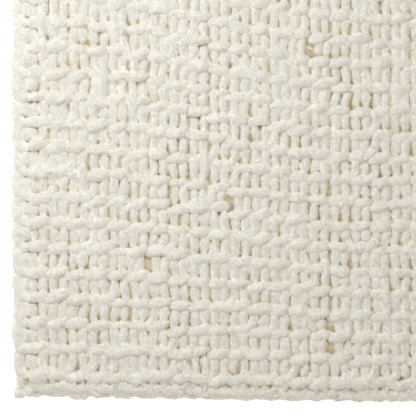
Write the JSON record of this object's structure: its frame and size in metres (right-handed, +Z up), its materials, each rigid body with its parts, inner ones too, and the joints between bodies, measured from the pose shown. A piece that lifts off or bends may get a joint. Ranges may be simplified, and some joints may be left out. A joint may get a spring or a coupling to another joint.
{
  "type": "chunky knit chenille blanket",
  "caption": "Flat chunky knit blanket of thick cream chenille yarn, with ridged rows of stitches, scalloped sides and rolled cast-on and bind-off edges.",
  "frame": {"origin": "middle of the blanket's outline, on the surface it lies on", "axes": "+Z up out of the blanket's face, +Y along its rows' stacking direction from the cast-on edge to the bind-off edge, +X along the rows"},
  "size_m": [0.8172, 0.9786, 0.019],
  "materials": {
    "chenille_yarn": "soft matte cream chenille pile"
  },
  "bodies": {
    "root": {"knit_blanket": "chenille_yarn"}
  },
  "joints": []
}
